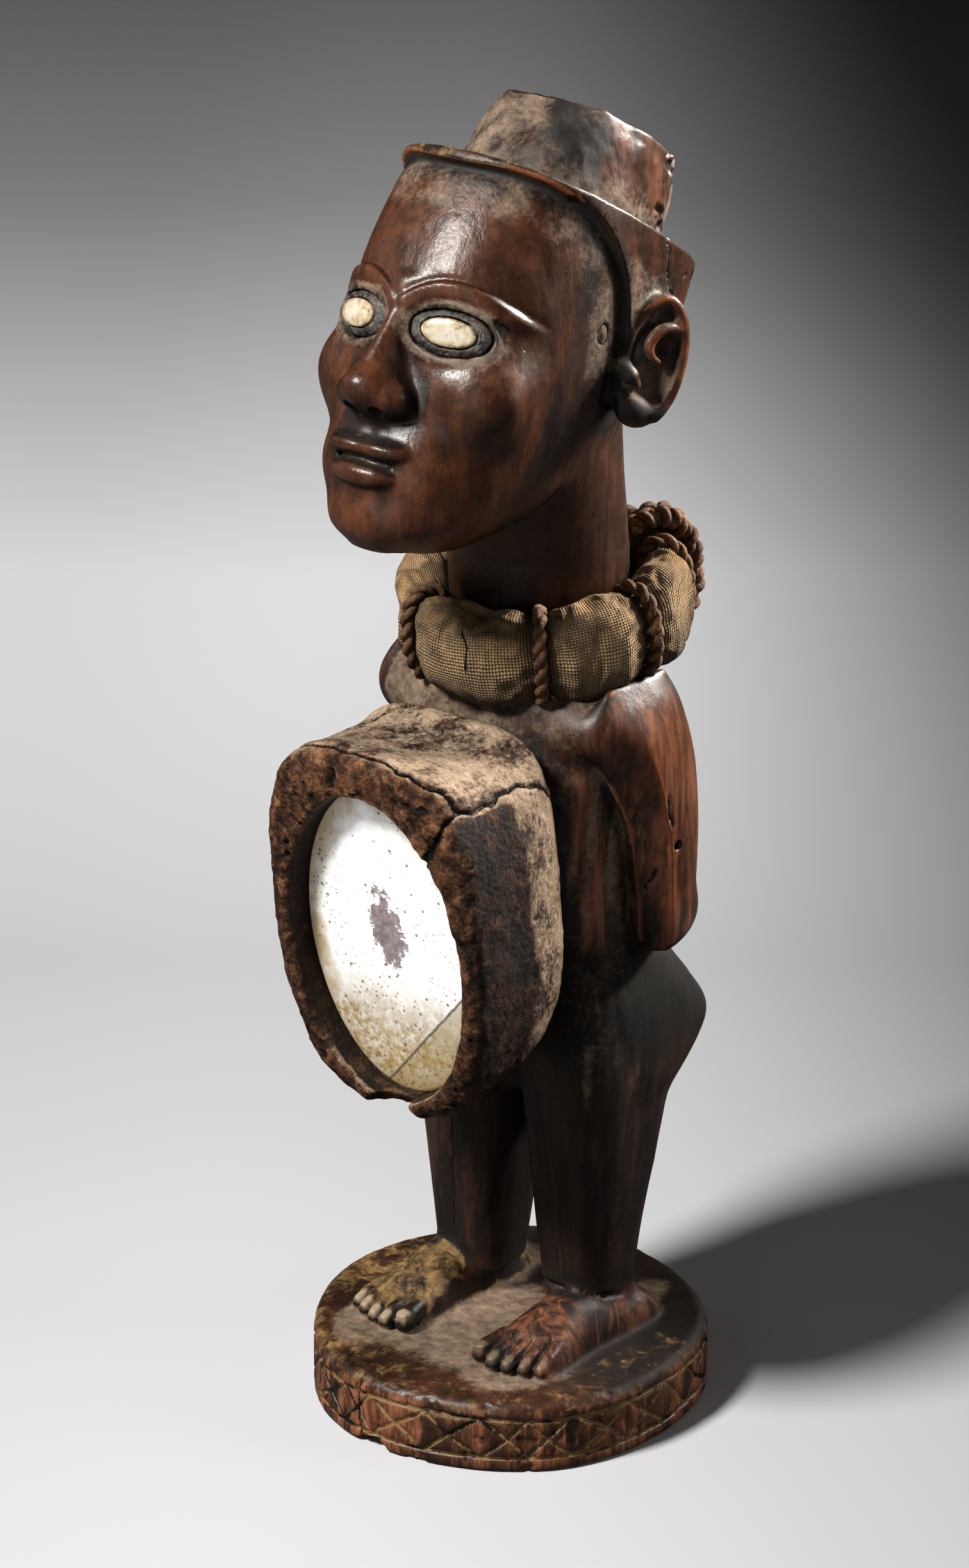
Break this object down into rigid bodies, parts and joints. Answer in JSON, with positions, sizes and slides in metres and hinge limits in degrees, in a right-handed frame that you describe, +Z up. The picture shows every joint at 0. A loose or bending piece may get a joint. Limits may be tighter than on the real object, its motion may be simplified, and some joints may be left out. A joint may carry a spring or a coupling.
{
  "type": "carved standing figure",
  "caption": "Carved wooden standing figure with a tall cap, a resin pack holding an oval mirror on its belly, and a corded cloth collar, on a round base.",
  "frame": {"origin": "centre of the round base's underside", "axes": "+Z up, the figure faces -Y, +X is its left side"},
  "size_m": [0.122, 0.1311, 0.3914],
  "materials": {
    "wood": "dark red-brown, polished by handling, dusty in the recesses",
    "resin": "crumbly dark resin and clay, dusty on top",
    "mirror_glass": "aged silvered glass, spotted and worn",
    "eye_resin": "dark matt resin",
    "eye_glass": "pale clouded glass over a dusty bed",
    "cloth": "coarse plain weave, stuffed and grimy",
    "cord": "twisted plant fibre"
  },
  "bodies": {
    "root": {"carved_figure": "wood", "resin_pack": "resin", "mirror": "mirror_glass", "left_eye_resin": "eye_resin", "right_eye_resin": "eye_resin", "left_eye_glass": "eye_glass", "right_eye_glass": "eye_glass", "cloth_collar": "cloth", "cord_tie_front_left": "cord", "cord_tie_left": "cord", "cord_tie_front_right": "cord", "cord_tie_right": "cord", "cord_tie_back": "cord", "cord_knot": "cord"}
  },
  "joints": []
}
